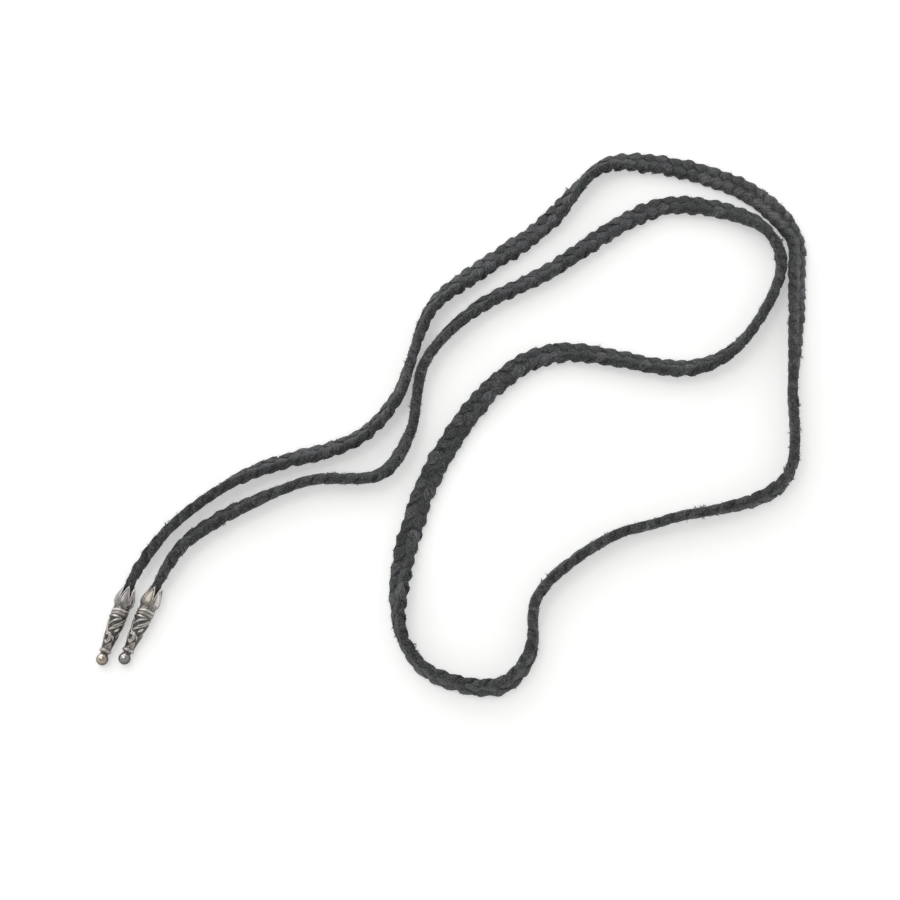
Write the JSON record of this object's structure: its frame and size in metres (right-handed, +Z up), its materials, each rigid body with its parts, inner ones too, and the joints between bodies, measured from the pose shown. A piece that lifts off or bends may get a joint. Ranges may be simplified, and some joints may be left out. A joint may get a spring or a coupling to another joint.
{
  "type": "braided leather necklace",
  "caption": "Long open-ended necklace of flat braided black leather with an ornamented cast silver tip on each end, lying folded in two on a surface.",
  "frame": {"origin": "on the surface that the necklace lies on, under the middle of its outline", "axes": "+Z up from the surface, +X from the two tips towards the far bend of the loop, +Y across it, away from the free end of the loop"},
  "size_m": [0.2542, 0.207, 0.0073],
  "materials": {
    "leather": "soft napped black leather, matt, a little smoother and glossier where the plait is squeezed in a bend",
    "silver": "cast silver with blackened recesses, bright worn edges and a warm tarnish"
  },
  "bodies": {
    "root": {"braided_lace": "leather", "left_tip": "silver", "right_tip": "silver"}
  },
  "joints": []
}
